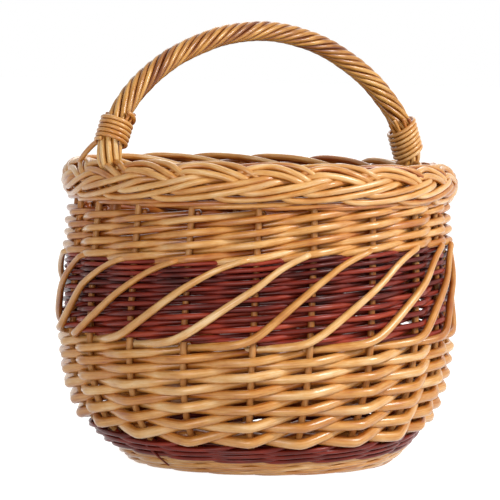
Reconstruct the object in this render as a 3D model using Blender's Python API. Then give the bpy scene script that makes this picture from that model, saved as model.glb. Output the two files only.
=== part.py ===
# Round willow shopping basket with a roped bow handle.
# Metres, +Z up. The origin is on the ground under the middle of the basket.
# X runs along the handle, which spans the longer way of the slightly oval mouth.
# A place around the basket is a share of a full turn, counted from +X towards +Y.

import math

import bmesh
import bpy
from mathutils import Vector

# The surface that the stakes follow, from the base over the rounded foot to the rim
BASE_HALF_LENGTH = 0.1090
BASE_HALF_WIDTH = 0.1005
WALL_HALF_LENGTH = 0.1905
WALL_HALF_WIDTH = 0.1772
STAKE_SEAT_HEIGHT = 0.0085
WIDEST_HEIGHT = 0.130
RIM_DRAW_IN = 0.0082
CORNER_POWER = 2.0

# The basket sits a little askew on its base, which lies off centre by these lengths
BASE_SHIFT_LONGWAYS = 0.0045
BASE_SHIFT_ACROSS = -0.0033
BASE_SHIFT_FADE_HEIGHT = 0.060

# Rods
STAKE_DIAMETER = 0.006
FOOT_ROD = 0.005
DARK_WALE_ROD = 0.0045
LOWER_ROD = 0.008
BAND_ROD = 0.0035
UPPER_ROD = 0.006
TOP_WALE_ROD = 0.005
SLANT_ROD = 0.0078
BASE_ROD = 0.003

# Small running sizes shared by all joints
SEAM_GAP = 0.0003
BORE_CLEARANCE = 0.00035
MERGE_DISTANCE = 0.00001

# How far each kind of weaving climbs up the stakes, from the ground to the border
FOOT_WALE_RISE = 0.0160
DARK_WALE_RISE = 0.0160
LOWER_WEAVE_RISE = 0.1045
BAND_RISE = 0.0850
UPPER_WEAVE_RISE = 0.0325
TOP_WALE_RISE = 0.0077
BORDER_HEIGHT = 0.0430
BORDER_WIDTH = 0.0370
BORDER_SET_OUT = 0.0020
FOOT_WALE_TOP = FOOT_WALE_RISE
DARK_WALE_TOP = FOOT_WALE_TOP + DARK_WALE_RISE
LOWER_WEAVE_TOP = DARK_WALE_TOP + LOWER_WEAVE_RISE
BAND_TOP = LOWER_WEAVE_TOP + BAND_RISE
UPPER_WEAVE_TOP = BAND_TOP + UPPER_WEAVE_RISE
TOP_WALE_TOP = UPPER_WEAVE_TOP + TOP_WALE_RISE
RIM_HEIGHT = TOP_WALE_TOP + SEAM_GAP + BORDER_HEIGHT / 2

# Stakes
STAKE_PLACE_SHARES = (
    0.0190, 0.0720, 0.1250, 0.1790, 0.2330, 0.2880, 0.3420, 0.3960, 0.4507, 0.4925,
    0.5462, 0.5986, 0.6559, 0.7028, 0.7583, 0.8132, 0.8569, 0.8955, 0.9305, 0.9655,
)
STAKE_BEND_SHARES = (0.133, 0.30, 0.50, 0.72, 1.0)
STAKE_LEAN_SHARE = 0.007
STAKE_END_SHARE = 0.82
STAKE_TOP_DROP = 0.0055

# Slanting rods over the dark band. Their thin tips are tucked in behind two stakes.
SLANT_PROUD_GAP = 0.0012
SLANT_START_DROP = 0.0075
SLANT_BEND_DROP = 0.0020
SLANT_END_DROP = 0.0050
SLANT_TIP_SHARE = 0.60
SLANT_STRIDE_SHARES = (-0.08, 0.11, 0.80, 1.4, 2.0, 2.5, 2.89, 3.08)
SLANT_LEAVING_SHARES = (0.11, 0.80)
SLANT_ENTERING_SHARES = (2.50, 2.89)
SLANT_SEAT_DROP = 0.0165
SLANT_SEAT_RAMP = 0.0040

# Base
THREADED_STICK = 0.0050
SLIT_STICK = 0.0090
STICK_SIDE_GAP = 0.0004
STICK_END_SHARE = 0.955
STICK_LEAD_SHARE = 1.1
STICKS_EACH_WAY = 4
FIRST_STICK_GAP = 18
GAPS_A_SIDE = 5
SLATH_TURN_SHARE = 0.04
SLATH_MARGIN = 0.0017
SLATH_HALF_WIDTH = STICKS_EACH_WAY * (SLIT_STICK + STICK_SIDE_GAP) / 2 + SLATH_MARGIN
BASE_EDGE_GAP = 0.0010
FOOT_FLAT_WIDTH = 0.0120
FOOT_FLARE_WIDTH = 0.0185
FOOT_FLARE_HEIGHT = 0.0070

# Handle. Its heights are measured up from the rim.
BOW_DIAMETER = 0.0110
BOW_TIP_DIAMETER = 0.0060
BOW_FOOT_RISE = 0.0165
BOW_ARCH_RISE = 0.1289
BOW_TIP_DEPTH = 0.1235
BOW_FOOT_FORWARD = 0.0100
BOW_APEX_BACK = 0.0032
BOW_LEFT_SET_IN = 0.0035
BOW_LEFT_LEAN = -0.0034
BOW_LEFT_KNEE_SHARE = 0.520
BOW_LEFT_CROWN_SHARE = 0.4444
BOW_RIGHT_SET_IN = 0.0087
BOW_RIGHT_LEAN = 0.0010
BOW_RIGHT_KNEE_SHARE = 0.4515
BOW_RIGHT_CROWN_SHARE = 0.5627
BOW_FOOT_HEIGHT = RIM_HEIGHT + BOW_FOOT_RISE
BOW_APEX_HEIGHT = BOW_FOOT_HEIGHT + BOW_ARCH_RISE
BOW_TIP_HEIGHT = RIM_HEIGHT - BOW_TIP_DEPTH
ROPING_CROWN_DIAMETER = 0.0202
ROPING_SHOULDER_DIAMETER = 0.0224
ROPING_FOOT_DIAMETER = 0.0264
ROPING_SHOULDER_SHARE = 0.403
ROPING_FOOT_SHARE = 0.062
ROPING_END_RISE = 0.0055
ROPING_SHOULDER_HEIGHT = BOW_FOOT_HEIGHT + BOW_ARCH_RISE * ROPING_SHOULDER_SHARE
ROPING_FOOT_HEIGHT = BOW_FOOT_HEIGHT + BOW_ARCH_RISE * ROPING_FOOT_SHARE
ROPING_END_HEIGHT = RIM_HEIGHT + ROPING_END_RISE
BINDING_ROD = 0.0041
BINDING_ROOM = 0.0002
BINDING_LEFT_GAP = 0.0006
BINDING_RIGHT_GAP = 0.0007
BINDING_LEFT_RISE = 0.0315
BINDING_RIGHT_RISE = 0.0255
BINDING_LEFT_TURNS = 6
BINDING_RIGHT_TURNS = 7

# Counts of points and sides
RING_STATIONS = 32
BORDER_SIDES = 8
BOW_STEPS = 10
ROD_SIDES_LEVEL = 1
ROPING_SIDES_LEVEL = 3
BORE_SIDES_LEVEL = 0
LOOP_POINTS = 16

STAKE_RADIUS = STAKE_DIAMETER / 2
FULL_TURN = 2 * math.pi
LEAST_SLOPE_ANGLE = math.radians(1.2)
SHARP_EDGE_ANGLE = math.radians(45)


# The plan and the profile of the wall


def corner_angle(height):
    """Angle along the rounded foot, 0 on the base and a quarter turn at the widest height."""
    left = (WIDEST_HEIGHT - height) / (WIDEST_HEIGHT - STAKE_SEAT_HEIGHT)
    return math.acos(min(1.0, max(0.0, left)) ** (CORNER_POWER / 2))


def wall_profile(height):
    """Half length, half width, height, and how each of them changes along the profile."""
    length_growth = WALL_HALF_LENGTH - BASE_HALF_LENGTH
    width_growth = WALL_HALF_WIDTH - BASE_HALF_WIDTH
    if height < WIDEST_HEIGHT:
        angle = max(corner_angle(height), LEAST_SLOPE_ANGLE)
        power = 2 / CORNER_POWER
        grown = math.sin(angle) ** power
        growth = power * math.sin(angle) ** (power - 1) * math.cos(angle)
        fall = WIDEST_HEIGHT - STAKE_SEAT_HEIGHT
        climb = fall * power * math.cos(angle) ** (power - 1) * math.sin(angle)
        half_length = BASE_HALF_LENGTH + length_growth * grown
        half_width = BASE_HALF_WIDTH + width_growth * grown
        return half_length, half_width, height, length_growth * growth, width_growth * growth, climb
    rise = RIM_HEIGHT - WIDEST_HEIGHT
    share = (height - WIDEST_HEIGHT) / rise
    drawn = RIM_DRAW_IN * share * share
    slope = -2 * RIM_DRAW_IN * share / rise
    return WALL_HALF_LENGTH - drawn, WALL_HALF_WIDTH - drawn, height, slope, slope, 1.0


def base_shift(height):
    """How far the middle of the wall lies off centre at a height: most at the base."""
    share = 1 - smooth_step(height / BASE_SHIFT_FADE_HEIGHT)
    return Vector((BASE_SHIFT_LONGWAYS * share, BASE_SHIFT_ACROSS * share, 0.0))


def wall_point(turn, height, outward=0.0):
    """A point beside the stake surface, measured square to it."""
    half_length, half_width, level, length_step, width_step, climb = wall_profile(height)
    across = math.cos(turn * FULL_TURN)
    along = math.sin(turn * FULL_TURN)
    point = Vector((half_length * across, half_width * along, level))
    sink = -(width_step * half_length * along * along + length_step * half_width * across * across)
    normal = Vector((half_width * across * climb, half_length * along * climb, sink))
    return point + base_shift(height) + normal.normalized() * outward


def base_point(turn, growth, height):
    """A point on the plan of the base, grown evenly by a length."""
    across = (BASE_HALF_LENGTH + growth) * math.cos(turn * FULL_TURN)
    along = (BASE_HALF_WIDTH + growth) * math.sin(turn * FULL_TURN)
    return Vector((across, along, height)) + base_shift(0.0)


def stake_turn(place, height):
    """Where a stake stands at a height: all stakes lean a little to one side."""
    return place + STAKE_LEAN_SHARE * (height / RIM_HEIGHT - 1)


def stake_place(index):
    """Place of a stake counted past the end of the table, whole turns added."""
    count = len(STAKE_PLACE_SHARES)
    return STAKE_PLACE_SHARES[index % count] + index // count


def smooth_step(value):
    """0 below 0, 1 above 1, and a smooth rise between."""
    value = min(1.0, max(0.0, value))
    return value * value * (3 - 2 * value)


def blend(first, second, share):
    return first + (second - first) * share


# Materials


def finish(name, colour, roughness):
    """A varnished willow finish, shared by the pieces of one kind of rod."""
    material = bpy.data.materials.get(name)
    if material is None:
        material = bpy.data.materials.new(name)
        material.use_nodes = True
        shader = material.node_tree.nodes["Principled BSDF"]
        shader.inputs["Base Color"].default_value = (*colour, 1.0)
        shader.inputs["Roughness"].default_value = roughness
        shader.inputs["Metallic"].default_value = 0.0
    return material


def buff_willow():
    return finish("buff_willow", (0.58, 0.29, 0.085), 0.38)


def pale_willow():
    return finish("pale_stake_willow", (0.55, 0.33, 0.13), 0.45)


def brown_willow():
    return finish("dark_red_willow", (0.14, 0.022, 0.014), 0.30)


def inner_willow():
    return finish("base_willow", (0.45, 0.24, 0.09), 0.55)


# Making solids


def add_mesh(name, mesh, material):
    piece = bpy.data.objects.new(name, mesh)
    bpy.context.scene.collection.objects.link(piece)
    if material is not None:
        mesh.materials.clear()
        mesh.materials.append(material)
    return piece


def rod_curve(points, radius, tip_shares, sides_level, tilt):
    """A round rod as a poly curve with closed ends. Tip shares thin it point by point."""
    data = bpy.data.curves.new("rod", "CURVE")
    data.dimensions = "3D"
    data.bevel_depth = radius
    data.bevel_resolution = sides_level
    data.use_fill_caps = True
    data.twist_mode = "MINIMUM"
    spline = data.splines.new("POLY")
    spline.points.add(len(points) - 1)
    for index, point in enumerate(points):
        spline.points[index].co = (*point, 1.0)
        spline.points[index].tilt = tilt
        if tip_shares is not None:
            spline.points[index].radius = tip_shares[index]
    return data


def rod_mesh(points, radius, tip_shares=None, sides_level=ROD_SIDES_LEVEL, tilt=0.0):
    """The same rod as a closed mesh with its faces pointing out."""
    data = rod_curve(points, radius, tip_shares, sides_level, tilt)
    curve = bpy.data.objects.new("rod", data)
    bpy.context.scene.collection.objects.link(curve)
    bpy.context.view_layer.update()
    seen = curve.evaluated_get(bpy.context.evaluated_depsgraph_get())
    mesh = bpy.data.meshes.new_from_object(seen)
    bpy.data.objects.remove(curve)
    shell = bmesh.new()
    shell.from_mesh(mesh)
    bmesh.ops.remove_doubles(shell, verts=shell.verts, dist=MERGE_DISTANCE)
    bmesh.ops.recalc_face_normals(shell, faces=shell.faces)
    shell.to_mesh(mesh)
    shell.free()
    mesh.shade_smooth()
    mesh.set_sharp_from_angle(angle=SHARP_EDGE_ANGLE)
    return mesh


def bore_mesh(points, radius, tip_shares=None):
    """The room that a rod takes with its clearance, as a plainer square tube around it."""
    corner_reach = (radius + BORE_CLEARANCE) / math.cos(math.pi / 4)
    return rod_mesh(points, corner_reach, tip_shares, BORE_SIDES_LEVEL, math.pi / 4)


def add_rod(name, points, radius, material, tip_shares=None, sides_level=ROD_SIDES_LEVEL):
    return add_mesh(name, rod_mesh(points, radius, tip_shares, sides_level), material)


def ring_solid(name, outline_at, material):
    """A closed ring: the same outline, of any number of points, at each station of the turn."""
    outlines = [outline_at(station / RING_STATIONS) for station in range(RING_STATIONS)]
    size = len(outlines[0])
    points = [point for outline in outlines for point in outline]
    faces = []
    for station in range(RING_STATIONS):
        here = station * size
        there = (station + 1) % RING_STATIONS * size
        for corner in range(size):
            after = (corner + 1) % size
            faces.append((here + corner, there + corner, there + after, here + after))
    mesh = bpy.data.meshes.new(name)
    mesh.from_pydata(points, [], faces)
    shell = bmesh.new()
    shell.from_mesh(mesh)
    bmesh.ops.recalc_face_normals(shell, faces=shell.faces)
    shell.to_mesh(mesh)
    shell.free()
    mesh.shade_smooth()
    mesh.set_sharp_from_angle(angle=SHARP_EDGE_ANGLE)
    return add_mesh(name, mesh, material)


def join_cutter(name, meshes):
    """One hidden cutter made of separate closed rods."""
    shell = bmesh.new()
    for mesh in meshes:
        shell.from_mesh(mesh)
    joined = bpy.data.meshes.new(name)
    shell.to_mesh(joined)
    shell.free()
    cutter = add_mesh(name, joined, None)
    cutter.hide_render = True
    cutter.display_type = "WIRE"
    return cutter


def cut(piece, cutter):
    modifier = piece.modifiers.new(cutter.name, "BOOLEAN")
    modifier.operation = "DIFFERENCE"
    modifier.solver = "EXACT"
    modifier.object = cutter


# Routes of the rods


def stake_route(index):
    """From inside the base, out through its edge, round the foot and up into the border."""
    place = stake_place(index)
    low = stake_turn(place, STAKE_SEAT_HEIGHT)
    inner = base_point(low, 0.0, STAKE_SEAT_HEIGHT)
    middle = base_shift(0.0) + Vector((0.0, 0.0, STAKE_SEAT_HEIGHT))
    points = [middle.lerp(inner, STAKE_END_SHARE), inner]
    for share in STAKE_BEND_SHARES:
        angle = math.pi / 2 * share
        climb = max(0.0, math.cos(angle)) ** (2 / CORNER_POWER)
        height = WIDEST_HEIGHT - (WIDEST_HEIGHT - STAKE_SEAT_HEIGHT) * climb
        points.append(wall_point(stake_turn(place, height), height))
    steps = 2
    for step in range(1, steps + 1):
        height = blend(WIDEST_HEIGHT, RIM_HEIGHT - STAKE_TOP_DROP, step / steps)
        points.append(wall_point(stake_turn(place, height), height))
    return points


def outside_share(stride):
    """0 where a slanting rod is tucked in behind a stake, 1 where it lies over the band."""
    out_start, out_end = SLANT_LEAVING_SHARES
    in_start, in_end = SLANT_ENTERING_SHARES
    leaving = smooth_step((stride - out_start) / (out_end - out_start))
    return leaving * smooth_step((in_end - stride) / (in_end - in_start))


def slant_tips():
    """How thick the slanting rod is along its route, thinner where it goes behind a stake."""
    return [blend(SLANT_TIP_SHARE, 1.0, outside_share(stride)) for stride in SLANT_STRIDE_SHARES]


def slant_route(index):
    """From behind one stake, out in front of the next, up across the band and in behind the
    third stake after the first."""
    proud = STAKE_RADIUS + BAND_ROD + SLANT_PROUD_GAP + SLANT_ROD / 2
    tuck = STAKE_RADIUS + 2 * BORE_CLEARANCE + SEAM_GAP + SLANT_TIP_SHARE * SLANT_ROD / 2
    low_height = LOWER_WEAVE_TOP - SLANT_START_DROP
    bend_height = LOWER_WEAVE_TOP - SLANT_BEND_DROP
    points = []
    for stride in SLANT_STRIDE_SHARES:
        lower = math.floor(stride)
        climb = min(1.0, max(0.0, (stride - 1) / 2))
        height = blend(bend_height, BAND_TOP - SLANT_END_DROP, climb)
        if stride < 1:
            height = blend(low_height, bend_height, smooth_step(stride))
        first = stake_place(index + lower)
        place = blend(first, stake_place(index + lower + 1), stride - lower)
        outward = blend(-tuck, proud, outside_share(stride))
        points.append(wall_point(stake_turn(place, height), height, outward))
    return points


def bow_side(side):
    """How one leg of the hand-bent bow stands: its foot, its lean, its knee and its crown."""
    if side < 0:
        return BOW_LEFT_SET_IN, BOW_LEFT_LEAN, BOW_LEFT_KNEE_SHARE, BOW_LEFT_CROWN_SHARE
    return BOW_RIGHT_SET_IN, BOW_RIGHT_LEAN, BOW_RIGHT_KNEE_SHARE, BOW_RIGHT_CROWN_SHARE


def half_bow_route(side):
    """From the tip inside the wall, up through the border, to the top of the crown."""
    set_in, lean, knee_share, crown_share = bow_side(side)
    span = WALL_HALF_LENGTH - set_in
    half = []
    steps = 2
    for step in range(steps + 1):
        height = blend(BOW_TIP_HEIGHT, TOP_WALE_TOP, step / steps)
        half_length, half_width = wall_profile(height)[:2]
        across = half_length * math.sqrt(1 - (BOW_FOOT_FORWARD / half_width) ** 2)
        half.append(Vector((side * across, -BOW_FOOT_FORWARD, height)))
    foot = Vector((span, BOW_FOOT_HEIGHT))
    knee = Vector((span - lean, BOW_FOOT_HEIGHT + BOW_ARCH_RISE * knee_share))
    shoulder = Vector((span * crown_share, BOW_APEX_HEIGHT))
    crown = Vector((0.0, BOW_APEX_HEIGHT))
    for step in range(BOW_STEPS + 1):
        share = step / BOW_STEPS
        rest = 1 - share
        spot = foot * rest**3 + knee * 3 * rest**2 * share
        spot = spot + shoulder * 3 * rest * share**2 + crown * share**3
        climb = smooth_step((spot.y - BOW_FOOT_HEIGHT) / BOW_ARCH_RISE)
        across = blend(-BOW_FOOT_FORWARD, BOW_APEX_BACK, climb)
        half.append(Vector((side * spot.x, across, spot.y)))
    return half


def bow_route():
    """The bow's centre line from its left tip, up over the crown, to its right tip."""
    return half_bow_route(-1) + half_bow_route(1)[-2::-1]


def bow_radius_shares(points):
    """The bow tapers to its tips inside the wall."""
    shares = []
    for point in points:
        full = smooth_step((point.z - BOW_TIP_HEIGHT) / (UPPER_WEAVE_TOP - BOW_TIP_HEIGHT))
        shares.append(blend(BOW_TIP_DIAMETER, BOW_DIAMETER, full) / BOW_DIAMETER)
    return shares


def roping_radius(height):
    """Half the thickness of the roped grip: thin at the crown, stout at the border."""
    shoulder = smooth_step(
        (BOW_APEX_HEIGHT - height) / (BOW_APEX_HEIGHT - ROPING_SHOULDER_HEIGHT)
    )
    foot = smooth_step(
        (ROPING_SHOULDER_HEIGHT - height) / (ROPING_SHOULDER_HEIGHT - ROPING_FOOT_HEIGHT)
    )
    upper = blend(ROPING_CROWN_DIAMETER, ROPING_SHOULDER_DIAMETER, shoulder)
    return blend(upper, ROPING_FOOT_DIAMETER, foot) / 2


def leg_spot(side, height):
    """The point of the bow's centre line at a height, on one leg."""
    leg = half_bow_route(side)
    for low, high in zip(leg, leg[1:]):
        if low.z <= height <= high.z:
            return low.lerp(high, (height - low.z) / (high.z - low.z))
    return leg[0]


def roping_route():
    """The part of the bow that the roping wraps, down to where it ends inside the border."""
    between = [point for point in bow_route() if point.z > ROPING_END_HEIGHT]
    return [leg_spot(-1, ROPING_END_HEIGHT), *between, leg_spot(1, ROPING_END_HEIGHT)]


# Sub-parts


def add_stakes():
    for index in range(len(STAKE_PLACE_SHARES)):
        add_rod(f"stake_{index + 1:02d}", stake_route(index), STAKE_RADIUS, pale_willow())


def add_slant_rods():
    for index in range(len(STAKE_PLACE_SHARES)):
        name = f"slant_rod_{index + 1:02d}"
        add_rod(name, slant_route(index), SLANT_ROD / 2, buff_willow(), slant_tips())


def stick_ends(side):
    """Four neighbouring gaps between stakes, of five on each side, take the stick ends."""
    gaps = []
    for step in range(STICKS_EACH_WAY):
        gap = FIRST_STICK_GAP + GAPS_A_SIDE * side + step
        middle = (stake_place(gap) + stake_place(gap + 1)) / 2
        gaps.append(stake_turn(middle, STAKE_SEAT_HEIGHT))
    return gaps


def stick_route(first_end, second_end, offset, heading):
    """Straight through the cross in the middle of the base, then fanned out at both ends."""
    forward = Vector((math.cos(heading), math.sin(heading), 0.0))
    aside = Vector((-forward.y, forward.x, 0.0))
    middle = base_shift(0.0)
    halves = []
    for sign, turn in ((1, first_end), (-1, second_end)):
        start = middle + forward * sign * SLATH_HALF_WIDTH + aside * offset
        lead = start + forward * sign * SLATH_HALF_WIDTH * (STICK_LEAD_SHARE - 1)
        end = middle.lerp(base_point(turn, 0.0, 0.0), STICK_END_SHARE)
        steps = 3
        half = []
        for step in range(steps + 1):
            share = step / steps
            rest = 1 - share
            half.append(start * rest**2 + lead * 2 * rest * share + end * share**2)
        halves.append(half)
    points = halves[1][::-1] + halves[0]
    return [Vector((point.x, point.y, STAKE_SEAT_HEIGHT)) for point in points]


def base_stick_routes():
    """Routes of the four threaded sticks, then of the four slit sticks that they cross."""
    heading = SLATH_TURN_SHARE * FULL_TURN
    threaded = []
    slit = []
    for step in range(STICKS_EACH_WAY):
        spread = step - (STICKS_EACH_WAY - 1) / 2
        offset = spread * (THREADED_STICK + STICK_SIDE_GAP)
        far = stick_ends(2)[::-1][step]
        threaded.append(stick_route(stick_ends(0)[step], far, offset, heading))
        offset = spread * (SLIT_STICK + STICK_SIDE_GAP)
        far = stick_ends(3)[::-1][step]
        slit.append(stick_route(stick_ends(1)[step], far, offset, heading + math.pi / 2))
    return threaded, slit


def slit_cutter():
    """A flat box that opens the slits through the middle of the four slit sticks."""
    length = STICKS_EACH_WAY * (SLIT_STICK + STICK_SIDE_GAP) + 2 * SLIT_STICK
    width = STICKS_EACH_WAY * (THREADED_STICK + STICK_SIDE_GAP) + 2 * BORE_CLEARANCE
    thickness = THREADED_STICK + 2 * BORE_CLEARANCE
    middle = base_shift(0.0)
    middle.z = STAKE_SEAT_HEIGHT
    bpy.ops.mesh.primitive_cube_add(size=1.0, location=middle)
    box = bpy.context.object
    box.name = "slit_cutter"
    box.scale = (length, width, thickness)
    box.rotation_euler.z = SLATH_TURN_SHARE * FULL_TURN
    box.hide_render = True
    box.display_type = "WIRE"
    return box


def add_base_sticks():
    threaded, slit = base_stick_routes()
    opening = slit_cutter()
    for index, route in enumerate(threaded):
        add_rod(f"base_stick_threaded_{index + 1}", route, THREADED_STICK / 2, inner_willow())
    for index, route in enumerate(slit):
        stick = add_rod(f"base_stick_slit_{index + 1}", route, SLIT_STICK / 2, inner_willow())
        cut(stick, opening)


def add_base_weave(stake_bores):
    """The flat woven ring around the cross of sticks. Neighbouring sticks touch near the cross,
    so every other bore is cut in a turn of its own, and a little roomier, which keeps the flat
    sides of neighbouring bores out of one plane."""
    reach = SLIT_STICK / 2 + BASE_ROD / 2

    def outline_at(turn):
        inner = Vector((math.cos(turn * FULL_TURN), math.sin(turn * FULL_TURN), 0.0))
        inner = inner * SLATH_HALF_WIDTH + base_shift(0.0)
        low = Vector((0.0, 0.0, STAKE_SEAT_HEIGHT - reach))
        high = Vector((0.0, 0.0, STAKE_SEAT_HEIGHT + reach))
        outer = base_point(turn, -BASE_EDGE_GAP, 0.0)
        return [inner + low, outer + low, outer + high, inner + high]

    weave = ring_solid("base_weave", outline_at, inner_willow())
    threaded, slit = base_stick_routes()
    for name, routes, diameter in (
        ("threaded_bores", threaded, THREADED_STICK),
        ("slit_bores", slit, SLIT_STICK),
    ):
        for first in (0, 1):
            roomy = diameter / 2 + SEAM_GAP * first
            bores = [bore_mesh(route, roomy) for route in routes[first::2]]
            cut(weave, join_cutter(f"{name}_{first + 1}", bores))
    cut(weave, stake_bores)


def add_foot_wale(stake_bores):
    """The ring of light rods that the basket stands on, flat underneath."""
    reach = STAKE_RADIUS + FOOT_ROD

    def outline_at(turn):
        top = FOOT_WALE_TOP - SEAM_GAP
        flare = base_point(turn, FOOT_FLAT_WIDTH + FOOT_FLARE_WIDTH, FOOT_FLARE_HEIGHT)
        return [
            base_point(turn, 0.0, 0.0),
            base_point(turn, FOOT_FLAT_WIDTH, 0.0),
            flare,
            wall_point(turn, top, reach),
            wall_point(turn, top, -reach),
            base_point(turn, 0.0, STAKE_SEAT_HEIGHT + reach),
        ]

    cut(ring_solid("foot_wale", outline_at, buff_willow()), stake_bores)


def wall_ring(name, levels, rod, material):
    """A woven section as a closed ring around the stakes. Each level is a height on the stakes
    and the thickness of rod that stands outside them there. Inside stands the full rod. No
    section reaches into the border that lies flat on the topmost one."""
    inner_levels = [height for height, outside in levels if outside == rod]
    inner_levels = sorted({levels[0][0], *inner_levels, levels[-1][0]}, reverse=True)

    def outline_at(turn):
        outer = [wall_point(turn, height, STAKE_RADIUS + outside) for height, outside in levels]
        inner = [wall_point(turn, height, -STAKE_RADIUS - rod) for height in inner_levels]
        outline = outer + inner
        for point in outline:
            point.z = min(point.z, TOP_WALE_TOP)
        return outline

    return ring_solid(name, outline_at, material)


def even_levels(low, high, rod, count):
    """Levels at even steps between two heights, with the same rod outside the stakes."""
    return [(blend(low, high, step / count), rod) for step in range(count + 1)]


def add_wall(stake_bores, slant_bores, bow_bore):
    levels = even_levels(FOOT_WALE_TOP, DARK_WALE_TOP - SEAM_GAP, DARK_WALE_ROD, 1)
    dark_wale = wall_ring("dark_wale", levels, DARK_WALE_ROD, brown_willow())
    seat = LOWER_WEAVE_TOP - SEAM_GAP - SLANT_SEAT_DROP
    levels = even_levels(DARK_WALE_TOP, seat, LOWER_ROD, 3)
    levels.append((seat + SLANT_SEAT_RAMP, BAND_ROD))
    levels.append((LOWER_WEAVE_TOP - SEAM_GAP, BAND_ROD))
    lower = wall_ring("lower_weave", levels, LOWER_ROD, buff_willow())
    levels = even_levels(LOWER_WEAVE_TOP, BAND_TOP - SEAM_GAP, BAND_ROD, 2)
    band = wall_ring("dark_band", levels, BAND_ROD, brown_willow())
    levels = even_levels(BAND_TOP, UPPER_WEAVE_TOP - SEAM_GAP, UPPER_ROD, 1)
    upper = wall_ring("upper_weave", levels, UPPER_ROD, buff_willow())
    levels = even_levels(UPPER_WEAVE_TOP, TOP_WALE_TOP, TOP_WALE_ROD, 1)
    wale = wall_ring("top_wale", levels, TOP_WALE_ROD, buff_willow())
    for piece in (dark_wale, lower, band, upper, wale):
        cut(piece, stake_bores)
    for piece in (lower, band):
        cut(piece, slant_bores)
    for piece in (band, upper, wale):
        cut(piece, bow_bore)


def add_border(stake_bores, bow_bore, roping_bore):
    """The plaited border, as the closed ring that the plait fills."""

    def outline_at(turn):
        centre = wall_point(turn, RIM_HEIGHT)
        out = Vector((centre.x / WALL_HALF_LENGTH, centre.y / WALL_HALF_WIDTH, 0.0)).normalized()
        points = []
        corner_reach = 0.5 / math.cos(math.pi / BORDER_SIDES)
        for side in range(BORDER_SIDES):
            angle = FULL_TURN * (side + 0.5) / BORDER_SIDES
            aside = BORDER_WIDTH * corner_reach * math.cos(angle) + BORDER_SET_OUT
            rise = BORDER_HEIGHT * corner_reach * math.sin(angle)
            points.append(centre + out * aside + Vector((0.0, 0.0, rise)))
        return points

    border = ring_solid("plaited_border", outline_at, buff_willow())
    cut(border, stake_bores)
    cut(border, bow_bore)
    cut(border, roping_bore)


def add_handle():
    """The bow and the roped tube around it, and the room that both take in the wall."""
    route = bow_route()
    shares = bow_radius_shares(route)
    add_rod("handle_bow", route, BOW_DIAMETER / 2, buff_willow(), shares)
    bow_bore = join_cutter("bow_bore", [bore_mesh(route, BOW_DIAMETER / 2, shares)])
    roped = roping_route()
    thickness = [roping_radius(point.z) / roping_radius(BOW_APEX_HEIGHT) for point in roped]
    crown_radius = roping_radius(BOW_APEX_HEIGHT)
    level = ROPING_SIDES_LEVEL
    roping = add_rod("handle_roping", roped, crown_radius, buff_willow(), thickness, level)
    cut(roping, bow_bore)
    roomy = [share + BORE_CLEARANCE / crown_radius for share in thickness]
    roping_bore = join_cutter("roping_bore", [rod_mesh(roped, crown_radius, roomy, level)])
    return bow_bore, roping_bore


# The wound bindings at the feet of the handle


def widest_reach(side, foot, climb, length):
    """How far the roping reaches from the straight line that the binding winds around."""
    reach = 0.0
    for step in range(LOOP_POINTS + 1):
        spot = leg_spot(side, foot.z + length * step / LOOP_POINTS)
        aside = spot - foot
        aside = aside - climb * aside.dot(climb)
        reach = max(reach, aside.length + roping_radius(spot.z))
    return reach


def binding_route(side, rise, gap, turns):
    """A helix around one leg, with a straight lead of one rod at both ends."""
    low_height = RIM_HEIGHT + rise
    pitch = BINDING_ROD + gap
    foot = leg_spot(side, low_height)
    head = leg_spot(side, low_height + pitch * turns)
    climb = (head - foot).normalized()
    across = climb.cross(Vector((0.0, 1.0, 0.0))).normalized()
    toward = climb.cross(across).normalized()
    radius = widest_reach(side, foot, climb, pitch * turns) + BINDING_ROOM + BINDING_ROD / 2
    radius = radius / math.cos(math.pi / LOOP_POINTS)
    points = []
    for step in range(LOOP_POINTS * turns + 1):
        share = step / LOOP_POINTS
        angle = side * share * FULL_TURN
        around = across * math.cos(angle) + toward * math.sin(angle)
        points.append(foot + climb * pitch * share + around * radius)
    lead_in = (points[0] - points[1]).normalized() * BINDING_ROD
    lead_out = (points[-1] - points[-2]).normalized() * BINDING_ROD
    return [points[0] + lead_in] + points + [points[-1] + lead_out]


def least_gap(points, diameter):
    """Smallest clear distance between a wound tube's turns."""
    least = float("inf")
    skip = LOOP_POINTS // 2
    for index, point in enumerate(points):
        for other in points[index + skip:]:
            least = min(least, (point - other).length - diameter)
    return least


def add_binding(name, side, rise, gap, turns):
    route = binding_route(side, rise, gap, turns)
    add_rod(name, route, BINDING_ROD / 2, buff_willow())
    print(f"{name}: least gap to itself {least_gap(route, BINDING_ROD) * 1000:.2f} mm")


# Building


def build():
    """Every rod and ring, with the bores that they share cut out of the rings."""
    for thing in list(bpy.data.objects):
        bpy.data.objects.remove(thing)
    count = len(STAKE_PLACE_SHARES)
    bores = [bore_mesh(stake_route(index), STAKE_RADIUS) for index in range(count)]
    stake_bores = join_cutter("stake_bores", bores)
    bores = [bore_mesh(slant_route(index), SLANT_ROD / 2, slant_tips()) for index in range(count)]
    slant_bores = join_cutter("slant_bores", bores)
    add_stakes()
    add_slant_rods()
    add_base_sticks()
    add_base_weave(stake_bores)
    add_foot_wale(stake_bores)
    bow_bore, roping_bore = add_handle()
    add_wall(stake_bores, slant_bores, bow_bore)
    add_border(stake_bores, bow_bore, roping_bore)
    left = (-1, BINDING_LEFT_RISE, BINDING_LEFT_GAP, BINDING_LEFT_TURNS)
    right = (1, BINDING_RIGHT_RISE, BINDING_RIGHT_GAP, BINDING_RIGHT_TURNS)
    add_binding("handle_binding_left", *left)
    add_binding("handle_binding_right", *right)


build()
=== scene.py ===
import bpy
import numpy as np
from mathutils import Matrix, Vector


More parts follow.
